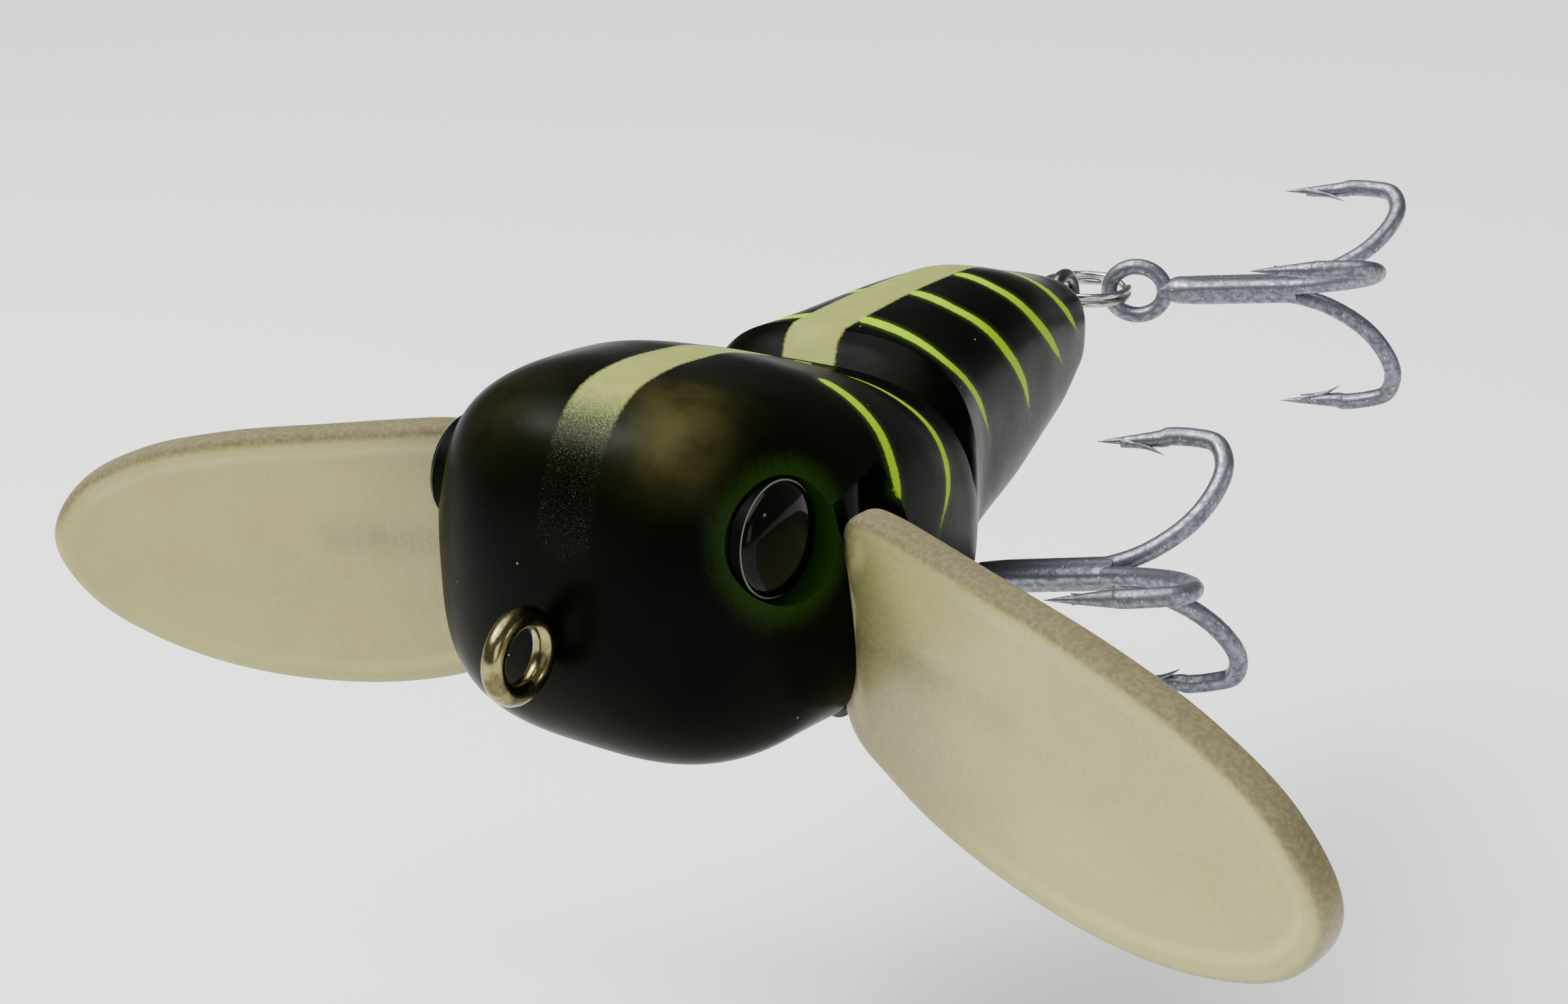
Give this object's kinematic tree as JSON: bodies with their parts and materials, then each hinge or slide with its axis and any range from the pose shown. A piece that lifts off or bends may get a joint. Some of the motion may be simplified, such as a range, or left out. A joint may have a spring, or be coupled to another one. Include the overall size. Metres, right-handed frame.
{
  "type": "winged surface fishing lure",
  "caption": "Surface fishing lure with a moulded two-shell body, hinged paddle wings, domed eyes, a nose line tie, split rings and treble hooks.",
  "frame": {"origin": "centre of the nose line-tie ring", "axes": "+Y toward the tail along the body, +X toward the lure's left wing, +Z toward its back"},
  "size_m": [0.1318, 0.1359, 0.0466],
  "materials": {
    "body_paint": "satin black lacquer with sprayed yellow-green stripes on moulded ABS",
    "wing_plastic": "translucent smoky beige moulded plastic, satin",
    "clear_lens": "clear polished resin dome",
    "iris_black": "gloss black disc",
    "brass_wire": "bright drawn wire",
    "hanger_wire": "dark nickel wire",
    "ring_wire": "nickel-plated spring wire",
    "hook_steel": "matte grey plated hook wire",
    "pin_steel": "ground stainless pin",
    "lead": "dull cast weight",
    "filler": "painted-over epoxy"
  },
  "bodies": {
    "body": {"left_body_shell": "body_paint", "right_body_shell": "body_paint", "belly_ballast": "lead", "nose_line_tie": "brass_wire", "belly_hook_hanger": "hanger_wire", "tail_hook_hanger": "hanger_wire", "left_eye_iris": "iris_black", "left_eye_lens": "clear_lens", "left_wing_pin": "pin_steel", "left_pin_plug": "filler", "right_eye_iris": "iris_black", "right_eye_lens": "clear_lens", "right_wing_pin": "pin_steel", "right_pin_plug": "filler"},
    "left_wing": {"left_wing": "wing_plastic"},
    "right_wing": {"right_wing": "wing_plastic"},
    "belly_ring": {"belly_split_ring": "ring_wire"},
    "belly_hook": {"belly_treble": "hook_steel"},
    "tail_ring": {"tail_split_ring": "ring_wire"},
    "tail_hook": {"tail_treble": "hook_steel"}
  },
  "joints": [
    {"name": "left_wing_fold", "type": "hinge", "parent": "body", "child": "left_wing", "pos_m": [0.0152, 0.0245, -0.0046], "axis": [-0.0088, -0.1579, 0.9874], "range_deg": [0, 55]},
    {"name": "right_wing_fold", "type": "hinge", "parent": "body", "child": "right_wing", "pos_m": [-0.0152, 0.0245, -0.0046], "axis": [-0.0088, 0.1579, -0.9874], "range_deg": [0, 55]},
    {"name": "belly_ring_drop", "type": "hinge", "parent": "body", "child": "belly_ring", "pos_m": [0, 0.0533, -0.01621], "axis": [-1, 0, 0], "range_deg": [0, 60]},
    {"name": "belly_hook_drop", "type": "hinge", "parent": "belly_ring", "child": "belly_hook", "pos_m": [0.00533, 0.06137, -0.01621], "axis": [-0.1564, 0.9877, 0], "range_deg": [-5, 90]},
    {"name": "tail_ring_drop", "type": "hinge", "parent": "body", "child": "tail_ring", "pos_m": [0, 0.1066, 0.003], "axis": [-1, 0, 0], "range_deg": [-45, 60]},
    {"name": "tail_hook_drop", "type": "hinge", "parent": "tail_ring", "child": "tail_hook", "pos_m": [0.00533, 0.11467, 0.003], "axis": [-0.1564, 0.9877, 0], "range_deg": [-20, 90]}
  ]
}
